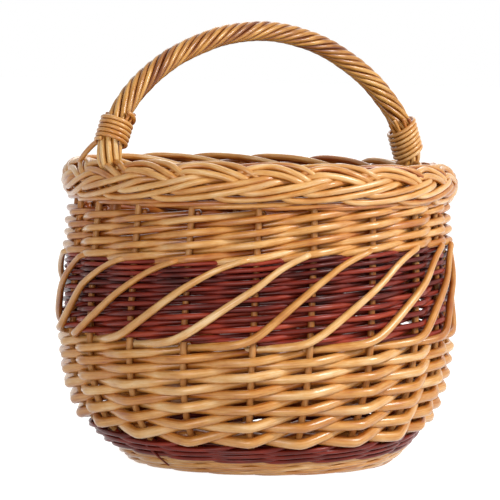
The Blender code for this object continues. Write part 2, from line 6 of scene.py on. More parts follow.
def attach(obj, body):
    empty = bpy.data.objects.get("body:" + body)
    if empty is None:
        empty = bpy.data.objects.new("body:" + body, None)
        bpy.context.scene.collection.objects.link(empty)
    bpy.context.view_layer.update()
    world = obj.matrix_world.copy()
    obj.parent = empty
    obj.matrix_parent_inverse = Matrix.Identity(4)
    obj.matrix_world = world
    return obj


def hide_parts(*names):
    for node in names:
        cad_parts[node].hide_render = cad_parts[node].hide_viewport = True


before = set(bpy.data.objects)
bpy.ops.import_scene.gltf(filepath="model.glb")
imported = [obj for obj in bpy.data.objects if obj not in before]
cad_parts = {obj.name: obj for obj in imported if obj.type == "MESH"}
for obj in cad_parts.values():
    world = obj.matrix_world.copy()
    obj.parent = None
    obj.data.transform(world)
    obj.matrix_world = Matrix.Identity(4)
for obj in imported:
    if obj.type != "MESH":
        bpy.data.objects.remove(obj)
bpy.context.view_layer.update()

rng = np.random.default_rng(36)
scene = bpy.context.scene
print("frame loaded")


# an sRGB hex value as linear light: each channel c becomes ((c + 0.055) / 1.055) to the power 2.4, or
# c / 12.92 where it is close to black
def linear(hexValue):
    c = np.array([int(hexValue[i:i + 2], 16) for i in (1, 3, 5)]) / 255
    return (*np.where(c <= 0.04045, c / 12.92, ((c + 0.055) / 1.055) ** 2.4), 1.0)


# 0 below 0, 1 above 1, and 3x^2 - 2x^3 between
def ease(x):
    x = np.clip(x, 0, 1)
    return x * x * (3 - 2 * x)


# each vector over its own length
def unit(v):
    return v / np.linalg.norm(v, axis=-1, keepdims=True)


# start + (end - start) share
def between(start, end, share):
    return start + (end - start) * share


# values read off a table of {place: value}, in straight lines between its places
def atKeys(x, table):
    return np.interp(x, list(table), list(table.values()))


# the same, with the corners rounded by a sliding mean of a chosen width, weighted by a cosine
def softKeys(x, table, width):
    offsets = np.linspace(-0.5, 0.5, 9) * width
    weights = np.cos(np.pi * offsets / width * 0.9) + 0.05
    return sum(w * atKeys(x + d, table) for w, d in zip(weights, offsets)) / weights.sum()


# one node with its settings, then its links from other nodes' outputs
def addNode(tree, kind, settings=None, links=None):
    node = tree.nodes.new(kind)
    for key, value in (settings or {}).items():
        if isinstance(key, str) and hasattr(node, key):
            setattr(node, key, value)
        else:
            node.inputs[key].default_value = value
    for key, source in (links or {}).items():
        tree.links.new(source, node.inputs[key])
    return node


# Finishes. A rod carries two attributes: rodPlace, its straightened place (metres along, then
# metres across), so a pattern runs with the rod round every bend, and rodTone, its depth of colour.
willowLooks = {
    "varnishedBuffWillow": {  # peeled and boiled rods under satin varnish: honey, with pale and ginger rods
        "tones": {0.0: "#8c410c", 0.2: "#ad6420", 0.45: "#c8873c", 0.7: "#dba45e", 1.0: "#ecc691"},
        "stain": "#a5561d", "stainAmount": 0.55, "fleck": "#4b2410", "fleckAmount": 0.8,
        "rough": 0.30, "gloss": 0.40, "coat": 0.36, "bump": 0.11},
    "handRubbedWillow": {  # the roping: the same rods, browner and with less stain where hands hold them
        "tones": {0.0: "#6f3408", 0.22: "#a3651f", 0.5: "#cf9546", 0.75: "#e2b572", 1.0: "#f0d3a0"},
        "stain": "#8a5526", "stainAmount": 0.3, "fleck": "#4b2410", "fleckAmount": 0.8,
        "rough": 0.30, "gloss": 0.40, "coat": 0.30, "bump": 0.12},
    "varnishedStakeWillow": {  # the uprights: the same wood, greyer and flatter, as they lie in shade
        "tones": {0.0: "#8f4f1c", 0.3: "#a8652b", 0.6: "#bd7f40", 1.0: "#d3a166"},
        "stain": "#935522", "stainAmount": 0.45, "fleck": "#50301a", "fleckAmount": 0.6,
        "rough": 0.42, "gloss": 0.25, "coat": 0.12, "bump": 0.22},
    "varnishedRedWillow": {  # unpeeled steamed rods: oxblood bark with a pink bloom and near-black runs
        "tones": {0.0: "#3d0d08", 0.35: "#651a10", 0.7: "#8a2c1b", 1.0: "#a5432c"},
        "stain": "#250705", "stainAmount": 0.6, "fleck": "#b5705f", "fleckAmount": 0.5,
        "rough": 0.30, "gloss": 0.16, "coat": 0.14, "bump": 0.35},
    "plainBaseWillow": {  # the base, unvarnished and rubbed: duller and browner
        "tones": {0.0: "#a3713a", 0.4: "#b98649", 0.7: "#c5965a", 1.0: "#d0a874"},
        "stain": "#8a5a2c", "stainAmount": 0.4, "fleck": "#52331c", "fleckAmount": 0.6,
        "rough": 0.55, "gloss": 0.25, "coat": 0.0, "bump": 0.25},
}
# the patterns that all willow has: waves a metre along and across the rod, and levels of detail
willowPatterns = {
    "grain": ((26, 900, 900), 3),   # streaks 30 to 60 mm long and about 1 mm wide
    "mottle": ((55, 170, 170), 3),  # clouds of about 15 mm
    "drift": ((9, 25, 25), 2),      # stains as long as a hand is wide
    "fleck": ((300, 700, 700), 2),  # scars of the bark, about 1 mm across
}
willowSurface = {"mottle": 0.9, "grain": 0.7, "stain": (0.5, 0.72), "fleck": (0.74, 0.79),
                 "rough": (-0.07, 0.14), "relief": 0.0006, "coatRough": 0.16}


def willowFinish(name):
    look = willowLooks[name]
    material = bpy.data.materials.new(name)
    material.use_nodes = True
    tree = material.node_tree
    shader = tree.nodes["Principled BSDF"]
    place = addNode(tree, "ShaderNodeAttribute", {"attribute_name": "rodPlace"}).outputs["Vector"]
    tone = addNode(tree, "ShaderNodeAttribute", {"attribute_name": "rodTone"}).outputs["Fac"]
    patterns = {}
    for label, (scale, detail) in willowPatterns.items():
        moved = addNode(tree, "ShaderNodeMapping", {"Scale": scale}, {"Vector": place})
        patterns[label] = addNode(tree, "ShaderNodeTexNoise",
                                  {"Scale": 1.0, "Detail": detail, "Roughness": 0.55},
                                  {"Vector": moved.outputs[0]}).outputs["Fac"]
    # shade = tone + 0.9 mottle + 0.7 grain - 0.8: the two noises, about a half each, leave the tone's mean
    mottled = addNode(tree, "ShaderNodeMath", {"operation": "MULTIPLY_ADD", 1: willowSurface["mottle"]},
                      {0: patterns["mottle"], 2: tone})
    streaked = addNode(tree, "ShaderNodeMath", {"operation": "MULTIPLY_ADD", 1: willowSurface["grain"]},
                       {0: patterns["grain"], 2: mottled.outputs[0]})
    noiseMean = (willowSurface["mottle"] + willowSurface["grain"]) / 2
    shade = addNode(tree, "ShaderNodeMath", {"operation": "SUBTRACT", 1: noiseMean}, {0: streaked.outputs[0]})
    ramp = addNode(tree, "ShaderNodeValToRGB", {}, {"Fac": shade.outputs[0]})
    stops = ramp.color_ramp.elements
    stops.remove(stops[1])
    for index, (spot, colour) in enumerate(look["tones"].items()):
        stop = stops.new(spot) if index else stops[0]
        stop.position, stop.color = spot, linear(colour)
    # long stains come and go along the rod, and flecks are small dark scars of the bark
    low, high = willowSurface["stain"]
    stained = addNode(tree, "ShaderNodeMapRange",
                      {"From Min": low, "From Max": high, "To Max": look["stainAmount"]},
                      {"Value": patterns["drift"]})
    base = addNode(tree, "ShaderNodeMix", {"data_type": "RGBA", 7: linear(look["stain"])},
                   {0: stained.outputs[0], 6: ramp.outputs["Color"]})
    low, high = willowSurface["fleck"]
    flecked = addNode(tree, "ShaderNodeMapRange",
                      {"From Min": low, "From Max": high, "To Max": look["fleckAmount"]},
                      {"Value": patterns["fleck"]})
    final = addNode(tree, "ShaderNodeMix", {"data_type": "RGBA", 7: linear(look["fleck"])},
                    {0: flecked.outputs[0], 6: base.outputs[2]})
    low, high = willowSurface["rough"]
    rough = addNode(tree, "ShaderNodeMapRange",
                    {"To Min": look["rough"] + low, "To Max": look["rough"] + high},
                    {"Value": patterns["grain"]})
    # the surface rises and falls by about a tenth of a millimetre with grain and mottle
    uneven = addNode(tree, "ShaderNodeMath", {"operation": "ADD"},
                     {0: patterns["grain"], 1: patterns["mottle"]})
    bump = addNode(tree, "ShaderNodeBump", {"Strength": look["bump"], "Distance": willowSurface["relief"]},
                   {"Height": uneven.outputs[0]})
    shader.inputs["Specular IOR Level"].default_value = look["gloss"]
    shader.inputs["Coat Weight"].default_value = look["coat"]
    shader.inputs["Coat Roughness"].default_value = willowSurface["coatRough"]
    tree.links.new(final.outputs[2], shader.inputs["Base Color"])
    tree.links.new(rough.outputs[0], shader.inputs["Roughness"])
    tree.links.new(bump.outputs[0], shader.inputs["Normal"])
    return material


finishes = {name: willowFinish(name) for name in willowLooks}
print("finishes made")


# A round rod is a circle carried along a path: ring i is path(i) + radius(i) (cos a out + sin a side),
# where out points off the wall, square to the path, and side = path direction x out.
# Paths are rods by points by 3. Both ends get one smaller ring and a flat cut face.
# Painted shade where rods touch: the tone falls by creviceShade times (half a minus half cos a) to the
# power 1.4, which is 0 on the rod's outer line and stops at 0.38. It also falls by shade, given point by
# point, which holds painted shade where a rod lies deep, and other darker or lighter stretches.
rodMake = {"endReach": 0.35, "endRadius": 0.66, "creviceShadePower": 1.4, "creviceShadeMost": 0.38, "grainRoom": 40}


def rodPiece(name, paths, outs, radii, finish, nodes, sides=10, toneSpread=0.5, toneMiddle=0.5,
             creviceShade=0.7, shade=0.0):
    paths = np.asarray(paths, float)
    rods, points = paths.shape[:2]
    radii = np.broadcast_to(radii, (rods, points)).astype(float)
    shade = np.broadcast_to(shade, (rods, points))
    ahead = unit(np.gradient(paths, axis=1))
    reach = ahead * radii[..., None] * rodMake["endReach"]
    paths = np.concatenate((paths[:, :1] - reach[:, :1], paths, paths[:, -1:] + reach[:, -1:]), axis=1)
    outs, ahead, radii, shade = [np.concatenate((part[:, :1], part, part[:, -1:]), axis=1)
                                 for part in (outs, ahead, radii, shade)]
    radii[:, [0, -1]] *= rodMake["endRadius"]
    points += 2
    outs = unit(outs - ahead * (outs * ahead).sum(-1, keepdims=True))
    side = np.cross(ahead, outs)
    angle = 2 * np.pi * np.arange(sides) / sides
    across = np.cos(angle)[:, None] * outs[:, :, None] + np.sin(angle)[:, None] * side[:, :, None]
    verts = paths[:, :, None] + radii[:, :, None, None] * across

    steps = np.linalg.norm(np.diff(paths, axis=1), axis=-1)
    along = np.concatenate((np.zeros((rods, 1)), np.cumsum(steps, axis=1)), axis=1)
    along = along + rng.uniform(0, rodMake["grainRoom"], (rods, 1))  # each rod has its own stretch of grain
    place = np.empty((rods, points, sides, 3))
    place[..., 0] = along[:, :, None]
    place[..., 1] = radii[:, :, None] * np.cos(angle)
    place[..., 2] = radii[:, :, None] * np.sin(angle)
    tone = (toneMiddle + toneSpread * (rng.random(rods) - 0.5))[:, None, None] - shade[:, :, None]
    # painted crevice shade: the tone falls towards the rod's flanks, by at most 0.38 times creviceShade
    tone = tone - creviceShade * np.minimum((0.5 - 0.5 * np.cos(angle)) ** rodMake["creviceShadePower"], rodMake["creviceShadeMost"])

    index = np.arange(rods * points * sides).reshape(rods, points, sides)
    here, there = index[:, :-1], index[:, 1:]
    quads = np.stack((here, np.roll(here, -1, 2), np.roll(there, -1, 2), there), axis=-1).reshape(-1, 4)
    caps = np.concatenate((index[:, 0, ::-1], index[:, -1]))
    surfacePiece(name, verts.reshape(-1, 3), quads, caps, place.reshape(-1, 3), tone.ravel(),
                 finish, nodes)


# a mesh of four-cornered faces and end caps, with its two attributes, finish and replaced nodes
def surfacePiece(name, verts, quads, caps, place, tone, finish, nodes):
    mesh = bpy.data.meshes.new(name)
    corners = np.concatenate((quads.ravel(), caps.ravel()))
    sizes = np.concatenate((np.full(len(quads), quads.shape[1]), np.full(len(caps), caps.shape[1])))
    mesh.vertices.add(len(verts))
    mesh.vertices.foreach_set("co", verts.astype(np.float32).ravel())
    mesh.loops.add(len(corners))
    mesh.loops.foreach_set("vertex_index", corners.astype(np.int32))
    mesh.polygons.add(len(sizes))
    mesh.polygons.foreach_set("loop_start", (np.cumsum(sizes) - sizes).astype(np.int32))
    mesh.polygons.foreach_set("loop_total", sizes.astype(np.int32))
    mesh.update(calc_edges=True)
    placeData = mesh.attributes.new("rodPlace", "FLOAT_VECTOR", "POINT").data
    placeData.foreach_set("vector", place.astype(np.float32).ravel())
    mesh.attributes.new("rodTone", "FLOAT", "POINT").data.foreach_set("value", tone.astype(np.float32))
    mesh.shade_smooth()
    mesh.materials.append(finishes[finish])
    piece = bpy.data.objects.new(name, mesh)
    scene.collection.objects.link(piece)
    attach(piece, "root")
    if nodes:
        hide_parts(*nodes)


# The wall that the stakes follow, with the part's own sizes in metres
wall = {"baseLong": 0.1090, "baseWide": 0.1005, "long": 0.1905, "wide": 0.1772, "seat": 0.0085,
        "widest": 0.130, "rim": 0.2835, "drawIn": 0.0082, "lean": 0.007, "leastBend": 0.021,
        "shift": (0.0045, -0.0033), "shiftFade": 0.060,
        "swell": 0.0026, "swellTurn": 0.41, "swellWidth": 0.075, "swellFrom": 0.08}
# where the stakes stand, as shares of the way round from the right end, by the back
stakePlaces = np.array([0.0190, 0.0720, 0.1250, 0.1790, 0.2330, 0.2880, 0.3420, 0.3960, 0.4507, 0.4925,
                        0.5462, 0.5986, 0.6559, 0.7028, 0.7583, 0.8132, 0.8569, 0.8955, 0.9305, 0.9655])
stakeCount = len(stakePlaces)
lapsBefore, lapsAfter = 2, 8  # the places repeat, as rods start before stake 0 and run on for six rounds
manyPlaces = np.concatenate([stakePlaces + lap for lap in range(-lapsBefore, lapsAfter)])
manyIndexes = np.arange(len(manyPlaces)) - lapsBefore * stakeCount


# The way round at q, which counts stakes: q = 8.5 is halfway between stakes 8 and 9
def turnAt(q):
    return np.interp(q, manyIndexes, manyPlaces)


# The middle of the wall lies off centre at the base, and comes back by the height called shiftFade
def shiftAt(height):
    share = 1 - ease(height / wall["shiftFade"])
    return np.stack((wall["shift"][0] * share, wall["shift"][1] * share, np.zeros_like(share)), axis=-1)


baseMiddle = shiftAt(np.zeros(1))[0]


# a ground point of the base's oval, grown outwards by growth: (L cos t, W sin t, 0)
def basePoint(turn, growth):
    angle = 2 * np.pi * np.asarray(turn)
    halfLong, halfWide = wall["baseLong"] + growth, wall["baseWide"] + growth
    return np.stack((halfLong * np.cos(angle), halfWide * np.sin(angle), 0 * angle), axis=-1) + baseMiddle


# A wall point is (L cos t, W sin t, h). Below the widest height L and W grow with the sine of the angle
# whose cosine falls evenly with height, so the foot is a quarter round; above it they draw in by a square.
def wallFrame(turn, height):
    turn, height = np.broadcast_arrays(np.asarray(turn, float), np.asarray(height, float))
    depth, above = wall["widest"] - wall["seat"], wall["rim"] - wall["widest"]
    bend = np.maximum(np.arccos(np.clip((wall["widest"] - height) / depth, 0, 1)), wall["leastBend"])
    growLong, growWide = wall["long"] - wall["baseLong"], wall["wide"] - wall["baseWide"]
    share = (height - wall["widest"]) / above
    low = height < wall["widest"]
    drawn, slope = wall["drawIn"] * share ** 2, -2 * wall["drawIn"] * share / above
    halfLong = np.where(low, wall["baseLong"] + growLong * np.sin(bend), wall["long"] - drawn)
    halfWide = np.where(low, wall["baseWide"] + growWide * np.sin(bend), wall["wide"] - drawn)
    stepLong = np.where(low, growLong * np.cos(bend), slope)
    stepWide = np.where(low, growWide * np.cos(bend), slope)
    climb = np.where(low, depth * np.sin(bend), 1.0)
    c, s = np.cos(2 * np.pi * turn), np.sin(2 * np.pi * turn)
    point = np.stack((halfLong * c, halfWide * s, height), axis=-1) + shiftAt(height)
    normal = np.stack((halfWide * c * climb, halfLong * s * climb,
                       -(stepWide * halfLong * s * s + stepLong * halfWide * c * c)), axis=-1)
    return point, unit(normal)


# A place on the leaning wall at stake count q, outward metres off it, and the direction square to it.
# The weave stands further out by swell at the left, falling off as a bell curve round swellTurn.
def onWall(q, height, outward):
    turn = turnAt(q) + wall["lean"] * (height / wall["rim"] - 1)
    point, normal = wallFrame(turn, height)
    bell = np.exp(-((np.mod(turn, 1) - wall["swellTurn"]) / wall["swellWidth"]) ** 2)
    swell = wall["swell"] * bell * ease(height / wall["swellFrom"])
    return point + normal * (np.asarray(outward) + swell)[..., None], normal


# stem_01 to stem_20
def nodeNames(stem):
    return [f"{stem}_{index + 1:02d}" for index in range(stakeCount)]


# Stakes: bend runs from 0 to 1 along a stake. Up to footShare it comes in from the base, up to wallShare
# it rounds the foot, with height = widest - depth cos of a quarter turn, and then it climbs evenly.
stakes = {"thick": 0.0066, "points": 64, "top": 0.2800, "endShare": 0.82, "footShare": 0.12,
          "wallShare": 0.62, "stain": 0.4, "stainFrom": 0.130, "stainTo": 0.208, "stainFade": 0.008}
bend = np.linspace(0, 1, stakes["points"])[None, :] * np.ones((stakeCount, 1))
footBend = np.clip((bend - stakes["footShare"]) / (stakes["wallShare"] - stakes["footShare"]), 0, 1)
lowHeight = wall["widest"] - (wall["widest"] - wall["seat"]) * np.cos(np.pi / 2 * footBend)
highHeight = between(wall["widest"], stakes["top"], (bend - stakes["wallShare"]) / (1 - stakes["wallShare"]))
stakeHeight = np.where(bend < stakes["wallShare"], lowHeight, highHeight)
path, out = onWall(np.arange(stakeCount)[:, None] + 0 * bend, stakeHeight, 0 * bend)
inward = np.clip(1 - bend / stakes["footShare"], 0, 1)[..., None] * (1 - stakes["endShare"])
path = between(path, baseMiddle + (0, 0, wall["seat"]), inward)
# the stakes are darker where they pass through the dark band
inBand = ease((stakeHeight - stakes["stainFrom"]) / stakes["stainFade"])
inBand = inBand * ease((stakes["stainTo"] - stakeHeight) / stakes["stainFade"])
for index, node in enumerate(nodeNames("stake")):
    rodPiece(f"stakeRod{node[-2:]}", path[index:index + 1], out[index:index + 1], stakes["thick"] / 2,
             "varnishedStakeWillow", [node], sides=12, toneSpread=0.3,
             toneMiddle=0.7, creviceShade=0.5, shade=stakes["stain"] * inBand[index:index + 1])
print("stakes stand")


# Rows don't lie level all round. Each table gives a rise in metres at a stake count from 8, at the left
# end, past 18, at the right end, and on round the back to 28, which is stake 8 again.
# The band swells to the right, so its top and all above it stand higher there.
upperLift = {8: -0.0004, 9: -0.0010, 10: -0.0008, 11: 0.0005, 12: 0.0032, 13: 0.0084, 14: 0.0122, 15: 0.0140,
             16: 0.0140, 19: 0.0110, 23: 0.0060, 26: 0.0020, 28: -0.0004}
# the lower rows ride up a little at the left
lowerLift = {8: 0.0060, 9: 0.0040, 10: 0.0025, 11: 0.0005, 12: 0.0, 13: 0.0, 14: -0.0005, 15: 0.0005,
             16: 0.0020, 17: 0.0010, 20: 0.0, 24: 0.0020, 28: 0.0060}
# the lowest rows, and the dark rods and the foot under them, climb at both ends and lie level at the back
endLift = {8: 0.0110, 9: 0.0070, 10: 0.0025, 11: 0.0, 12: 0.0, 13: 0.0, 14: 0.0, 15: 0.0015, 16: 0.0060,
           17: 0.0105, 18: 0.0110, 19: 0.0080, 20: 0.0030, 21: 0.0, 26: 0.0, 27: 0.0060, 28: 0.0110}


# the rise at stake count q, from a table that is closed round the basket by a key more at each end
def liftAt(q, table):
    keys, values = list(table), list(table.values())
    closed = {keys[0] - 1: values[-2], **table, keys[-1] + 1: values[1]}
    return softKeys(keys[0] + np.mod(q - keys[0], stakeCount), closed, 0.8)


# French randing: rod k starts beside stake k and climbs half a pitch a stake. m counts the stakes
# that it has passed: in front of even ones, behind odd ones. outward = reach (0.14 cos + 0.86 of a
# triangle wave) of pi m, so it bends most round the stakes. The tables' keys are values of m, and a
# rod strays from them by a level and a slow sine. Rods are stouter at the far side by farStout, and
# are painted darker by inside where they pass behind a stake: painted shade.
randingLay = {"round": 0.14, "soft": 0.5, "unevenThick": 0.05, "farTurn": 0.15}


def randing(name, look, finish, nodes):
    m = np.linspace(look["from"], look["to"], look["points"])[None, :]
    k = np.arange(stakeCount)[:, None]
    soft = randingLay["soft"]
    height = (softKeys(m, look["heights"], soft)
              + liftAt(k + m, look["lift"]) * softKeys(m, look["liftShare"], soft))
    if "endShare" in look:
        height = height + liftAt(k + m, endLift) * softKeys(m, look["endShare"], soft)
    sway = rng.uniform(-1, 1, (stakeCount, 3))
    wander = sway[:, :1] + sway[:, 1:2] * np.sin(m * 0.9 + 6 * sway[:, 2:])
    height = height + look["wander"] * wander * ease((m - look["from"]) * 2)
    wave = np.cos(np.pi * m)
    triangle = np.arcsin(wave * 0.999) / (np.pi / 2)  # its tips a little rounded
    wave = randingLay["round"] * wave + (1 - randingLay["round"]) * triangle
    thick = between(look["butt"], look["tip"], (m - look["from"]) / (look["to"] - look["from"]))
    far = 0.5 + 0.5 * np.cos(2 * np.pi * (turnAt(k + m) - randingLay["farTurn"]))
    thick = thick * (1 + randingLay["unevenThick"] * sway[:, 2:]) * (1 + look["farStout"] * far)
    path, out = onWall(k + m, height, wave * (stakes["thick"] + thick) / 2)
    # painted shade: each rod is darker where it passes behind a stake
    rodPiece(name, path, out, thick / 2, finish, nodes, sides=look["sides"],
             toneSpread=look["toneSpread"], toneMiddle=look["toneMiddle"], creviceShade=look["creviceShade"],
             shade=look["inside"] * np.clip(-wave, 0, 1))


lowerWeave = {"from": -1.45, "to": 11.05, "points": 160, "butt": 0.0102, "tip": 0.0084, "farStout": 0.28,
              "heights": {-1: 0.0350, 0: 0.0400, 2: 0.0560, 4: 0.0722, 6: 0.0880, 8: 0.1030, 10: 0.1170,
                          11.05: 0.1262},
              "lift": lowerLift, "liftShare": {0: 0.6, 4: 0.6, 11: 0.3},
              "endShare": {-1: 1.05, 0: 1.0, 2: 0.75, 5: 0.5, 8: 0.3, 11: 0.0}, "wander": 0.0005,
              "sides": 12, "toneSpread": 0.4, "toneMiddle": 0.62, "creviceShade": 0.75, "inside": 0.25}
randing("lowerWeavers", lowerWeave, "varnishedBuffWillow", ["lower_weave"])
bandWeave = {"from": -0.9, "to": 19.1, "points": 200, "butt": 0.0060, "tip": 0.0045, "farStout": 0.10,
             "heights": {-1: 0.1325, 0: 0.1367, 2: 0.1472, 4: 0.1569, 6: 0.1660, 8: 0.1742, 10: 0.1826,
                         12: 0.1897, 14: 0.1957, 16: 0.2010, 18: 0.2062, 19.1: 0.2090},
             "lift": upperLift, "liftShare": {0: 0.0, 8: 0.2, 19: 0.9}, "wander": 0.0005,
             "sides": 8, "toneSpread": 0.9, "toneMiddle": 0.56, "creviceShade": 0.75, "inside": 0.3}
randing("darkBandWeavers", bandWeave, "varnishedRedWillow", ["dark_band"])
upperWeave = {"from": -1.05, "to": 7.1, "points": 110, "butt": 0.0075, "tip": 0.0070, "farStout": 0.15,
              "heights": {-1: 0.2058, 0: 0.2106, 8: 0.2600},
              "lift": upperLift, "liftShare": {0: 1.0, 8: 0.6}, "wander": 0.0005,
              "sides": 12, "toneSpread": 0.4, "toneMiddle": 0.54, "creviceShade": 1.1, "inside": 0.4}
randing("upperWeavers", upperWeave, "varnishedBuffWillow", ["upper_weave"])
print("three bands woven")


# Waling: three rods, a stake apart, each in front of two stakes and behind one, round and round.
# With p = a third of the stakes passed: outward = reach tanh(f (1/3 - 4/3 cos 2 pi p)) / tanh f, where
# f, called flat, holds it level in front. Each rod dips by a sine on its way out and rises on its way in.
walingLay = {"flat": 1.25, "lapClimb": 0.15}


def waling(name, look, finish, nodes, lay):
    k = np.arange(3)[:, None]
    q = np.linspace(0, look["stakes"], look["stakes"] * look["steps"])[None, :] + k * 1.0
    p = (q - 2 * k) / 3
    wave = np.tanh(walingLay["flat"] * (1 / 3 - 4 / 3 * np.cos(2 * np.pi * p))) / np.tanh(walingLay["flat"])
    share = (q - k) / look["stakes"]
    path, out = lay(q + look["startStake"], share, wave, -0.5 * look["thick"] * np.sin(2 * np.pi * p))
    rodPiece(name, path, out, look["thick"] / 2, finish, nodes, sides=look["sides"], toneSpread=0.3,
             toneMiddle=look["toneMiddle"], creviceShade=0.5)


# which lap a share of the way belongs to: laps lie level, with a climb of three stakes at the far side
def lapAt(share, laps):
    return sum(ease((share - step / laps) * laps / walingLay["lapClimb"] + 0.5) for step in range(1, laps))


# three laps of dark rods, each lap with its height and its share of endLift
darkWale = {"stakes": 60, "steps": 9, "startStake": 2.4, "thick": 0.0050, "sides": 8, "toneMiddle": 0.55,
            "heights": {0: 0.0222, 1: 0.0267, 2: 0.0312}, "endShare": {0: 0.5, 1: 0.75, 2: 1.0},
            "riseShare": 0.6}


def layDarkWale(q, share, wave, rise):
    lap = lapAt(share, 3)
    height = atKeys(lap, darkWale["heights"]) + liftAt(q, endLift) * atKeys(lap, darkWale["endShare"])
    return onWall(q, height + rise * darkWale["riseShare"], wave * (stakes["thick"] + darkWale["thick"]) / 2)


waling("darkWaleRods", darkWale, "varnishedRedWillow", ["dark_wale"], layDarkWale)

# One dark rod was left long: its tip hangs out over the foot
strayDark = {"points": 20, "stakes": (9.93, 10.22), "heights": (0.0318, 0.0175), "outward": (0.0065, 0.0122),
             "radii": (0.0012, 0.0008)}
tipRun = {key: np.linspace(*strayDark[key], strayDark["points"])
          for key in ("stakes", "heights", "outward", "radii")}
path, out = onWall(tipRun["stakes"], tipRun["heights"], tipRun["outward"])
rodPiece("strayDarkTip", path[None], out[None], tipRun["radii"][None], "varnishedRedWillow",
         None, sides=8, toneMiddle=0.6)

topWale = {"stakes": 21, "steps": 10, "startStake": 4.4, "thick": 0.0052, "low": 0.2622, "high": 0.2634,
           "sides": 10, "toneMiddle": 0.45, "riseShare": 0.7}


# one lap that climbs evenly from low to high
def layTopWale(q, share, wave, rise):
    height = between(topWale["low"], topWale["high"], share) + rise * topWale["riseShare"]
    return onWall(q, height, wave * (stakes["thick"] + topWale["thick"]) / 2)


waling("topWaleRods", topWale, "varnishedBuffWillow", ["top_wale"], layTopWale)

# The foot: six laps of the same waling. growth is how far outside the base line a lap lies. The inner
# three lie flat around the stakes, over and under them, and the outer three turn up from the ring that
# the basket stands on. A stake's height there is widest - depth root(1 - (growth / full growth)^2).
footWale = {"stakes": 120, "steps": 9, "startStake": 2.4, "thick": 0.0052, "sides": 8, "toneMiddle": 0.68,
            "growth": {2: 0.0190, 2.6: 0.0220, 3: 0.0246, 4: 0.0296, 5: 0.0328, 5.3: 0.0334},
            "heights": {2: 0.0028, 2.6: 0.0030, 3: 0.0040, 4: 0.0088, 5: 0.0142, 5.3: 0.0160},
            "innerGrowth": {0: 0.0030, 2: 0.0176}, "ringLap": 2.6, "lapRise": 0.0075, "soft": 0.2,
            "bulge": 0.0030, "bulgeMost": 0.9, "setIn": 0.0012, "behindUp": 0.0035, "lowest": 0.0027,
            "endShare": 0.25, "endGrowth": 1.4, "outTilt": 0.6}


def layFootWale(q, share, wave, rise):
    lap = lapAt(share, 6)
    # the outer laps
    climb = np.maximum(lap, footWale["ringLap"]) + rise / footWale["lapRise"]
    bulge = np.minimum(wave, footWale["bulgeMost"]) * footWale["bulge"]
    growth = softKeys(climb, footWale["growth"], footWale["soft"]) + bulge - footWale["setIn"]
    height = (softKeys(climb, footWale["heights"], footWale["soft"])
              + footWale["behindUp"] * np.clip(-wave, 0, 1))
    # the top laps climb with the dark rods
    ends = liftAt(q, endLift) * np.clip(lap - 3, 0, 2) * footWale["endShare"]
    growth, height = growth + ends * footWale["endGrowth"], np.maximum(height, footWale["lowest"]) + ends
    # the inner laps
    flatGrowth = atKeys(lap, footWale["innerGrowth"]) + rise
    depth, fullGrowth = wall["widest"] - wall["seat"], wall["long"] - wall["baseLong"]
    stakeAt = wall["widest"] - depth * np.sqrt(1 - (flatGrowth / fullGrowth) ** 2)
    flatHeight = np.maximum(stakeAt - wave * (stakes["thick"] + footWale["thick"]) / 2, footWale["lowest"])
    outer = ease(lap - 2)
    growth, height = between(flatGrowth, growth, outer), between(flatHeight, height, outer)
    turn = turnAt(q) - wall["lean"]
    path = basePoint(turn, growth)
    path[..., 2] = height
    angle = 2 * np.pi * turn
    return path, np.stack((np.cos(angle), np.sin(angle), -footWale["outTilt"] * np.ones_like(angle)), axis=-1)


waling("footWaleRods", footWale, "varnishedBuffWillow", ["foot_wale"], layFootWale)
print("wales laid")

# Slanting rods over the band. s counts stakes from the rod's own: it comes out from behind stake 0, runs in
# front of 1 and 2, and goes in behind 3. outward goes from tuck to proud and back by two eased steps.
slants = {"points": 100, "from": -0.1, "to": 3.02, "thick": 0.0080, "tipThick": 0.0056, "proud": 0.0106,
          "tuck": -0.0062, "comesOut": (0.02, 0.80), "goesIn": (3.14, 0.38), "dip": 0.0012,
          "heights": {-0.1: 0.1262, 0.15: 0.1273, 0.45: 0.1295, 0.7: 0.1318, 0.88: 0.1340, 1.0: 0.1375,
                      1.2: 0.1465, 1.5: 0.1600, 1.75: 0.1712, 2.05: 0.1835, 2.35: 0.1954, 2.6: 0.2030,
                      2.87: 0.2092, 3.12: 0.2125, 3.3: 0.2140},
          "liftShare": {1.2: 0.0, 1.75: 0.28, 2.05: 0.5, 2.35: 0.8, 2.87: 1.0}, "soft": 0.35,
          "taperFrom": 0.8, "taperOver": 2.3, "unevenHeight": 0.0012, "unevenThick": 0.05}
s = np.linspace(slants["from"], slants["to"], slants["points"])[None, :] * np.ones((stakeCount, 1))
outside = ease((s - slants["comesOut"][0]) / slants["comesOut"][1])
outside = outside * ease((slants["goesIn"][0] - s) / slants["goesIn"][1])
sway = rng.uniform(-1, 1, (stakeCount, 2))
tipLift = liftAt(np.arange(stakeCount)[:, None] + 3.0, upperLift)
height = (softKeys(s, slants["heights"], slants["soft"])
          + tipLift * softKeys(s, slants["liftShare"], slants["soft"]))
archShare = np.clip((s - slants["taperFrom"]) / 2, 0, 1)  # each rod arches more or less over the band
height = height + slants["unevenHeight"] * sway[:, :1] * np.sin(np.pi * archShare)
proud = slants["proud"] - slants["dip"] * np.sin(np.pi * s) ** 2
path, out = onWall(np.arange(stakeCount)[:, None] + s, height, between(slants["tuck"], proud, outside))
taper = ease((s - slants["taperFrom"]) / slants["taperOver"])
thick = between(slants["thick"], slants["tipThick"], taper) * (1 + slants["unevenThick"] * sway[:, 1:])
for index, node in enumerate(nodeNames("slant_rod")):
    rodPiece(f"slantRod{node[-2:]}", path[index:index + 1], out[index:index + 1], thick[index:index + 1] / 2,
             "varnishedBuffWillow", [node], sides=14, toneMiddle=0.62)
print("slanting rods laid")

